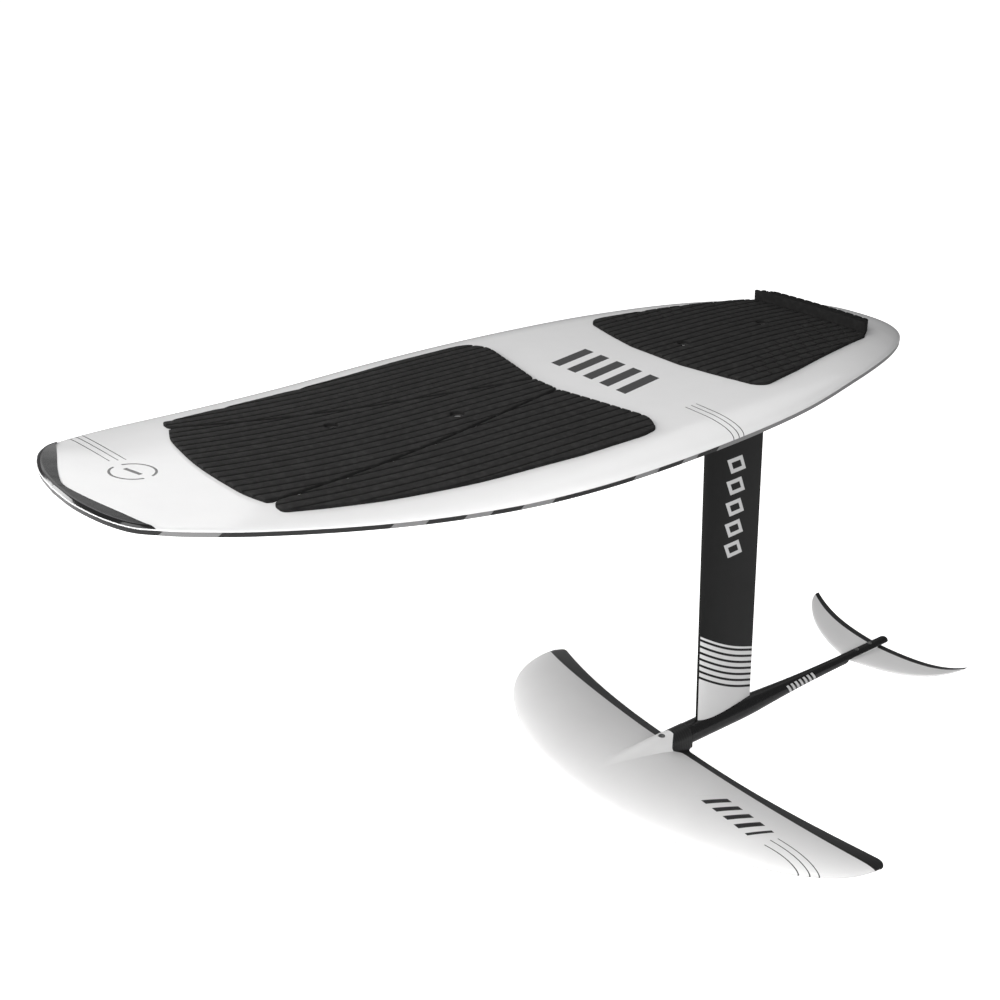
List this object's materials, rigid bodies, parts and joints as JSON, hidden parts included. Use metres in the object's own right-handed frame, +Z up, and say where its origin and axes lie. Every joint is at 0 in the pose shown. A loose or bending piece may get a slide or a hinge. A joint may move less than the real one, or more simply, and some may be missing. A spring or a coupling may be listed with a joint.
{
  "type": "hydrofoil board",
  "caption": "Short foil board with traction pads, carried on a mast, a fuselage, a swept front wing and a rear stabiliser; the mast foot slides in twin tracks.",
  "frame": {"origin": "on the mast's mid chord line, at the flat of the board's bottom", "axes": "+X to the nose, +Y to port, +Z up"},
  "size_m": [1.4718, 0.796, 0.772],
  "materials": {
    "white_gelcoat": "gloss",
    "grey_gelcoat": "gloss",
    "core_foam": "matte",
    "stringer_wood": "matte",
    "gloss_black_guard": "gloss",
    "track_plastic": "satin",
    "dense_foam": "matte",
    "barrel_plastic": "matte",
    "insert_brass": "satin",
    "pad_foam": "matte",
    "kick_foam": "matte",
    "black_aluminium": "satin",
    "mast_aluminium": "satin",
    "stainless": "satin",
    "wing_laminate": "satin",
    "stabiliser_laminate": "satin"
  },
  "bodies": {
    "board": {"deck_skin": "white_gelcoat", "bottom_skin": "grey_gelcoat", "foam_core": "core_foam", "stringers": "stringer_wood", "nose_guard": "gloss_black_guard", "track_left": "track_plastic", "track_right": "track_plastic", "track_block": "dense_foam", "strap_barrels": "barrel_plastic", "strap_inserts": "insert_brass", "front_pad_centre": "pad_foam", "front_pad_left": "pad_foam", "front_pad_right": "pad_foam", "rear_pad": "pad_foam", "kick_block": "kick_foam"},
    "foil": {"mast_plate": "black_aluminium", "plate_bolts": "stainless", "plate_washers": "stainless", "track_nuts": "stainless", "mast": "mast_aluminium", "mast_top_screws": "stainless", "mast_foot_screws": "stainless", "fuselage": "black_aluminium", "front_wing": "wing_laminate", "wing_bolt": "stainless", "stabiliser": "stabiliser_laminate", "stabiliser_bushes": "insert_brass", "stabiliser_screws": "stainless"}
  },
  "joints": [
    {"name": "foil_slide", "type": "slide", "parent": "board", "child": "foil", "axis": [1, 0, 0], "range_m": [-0.038, 0.038]}
  ]
}
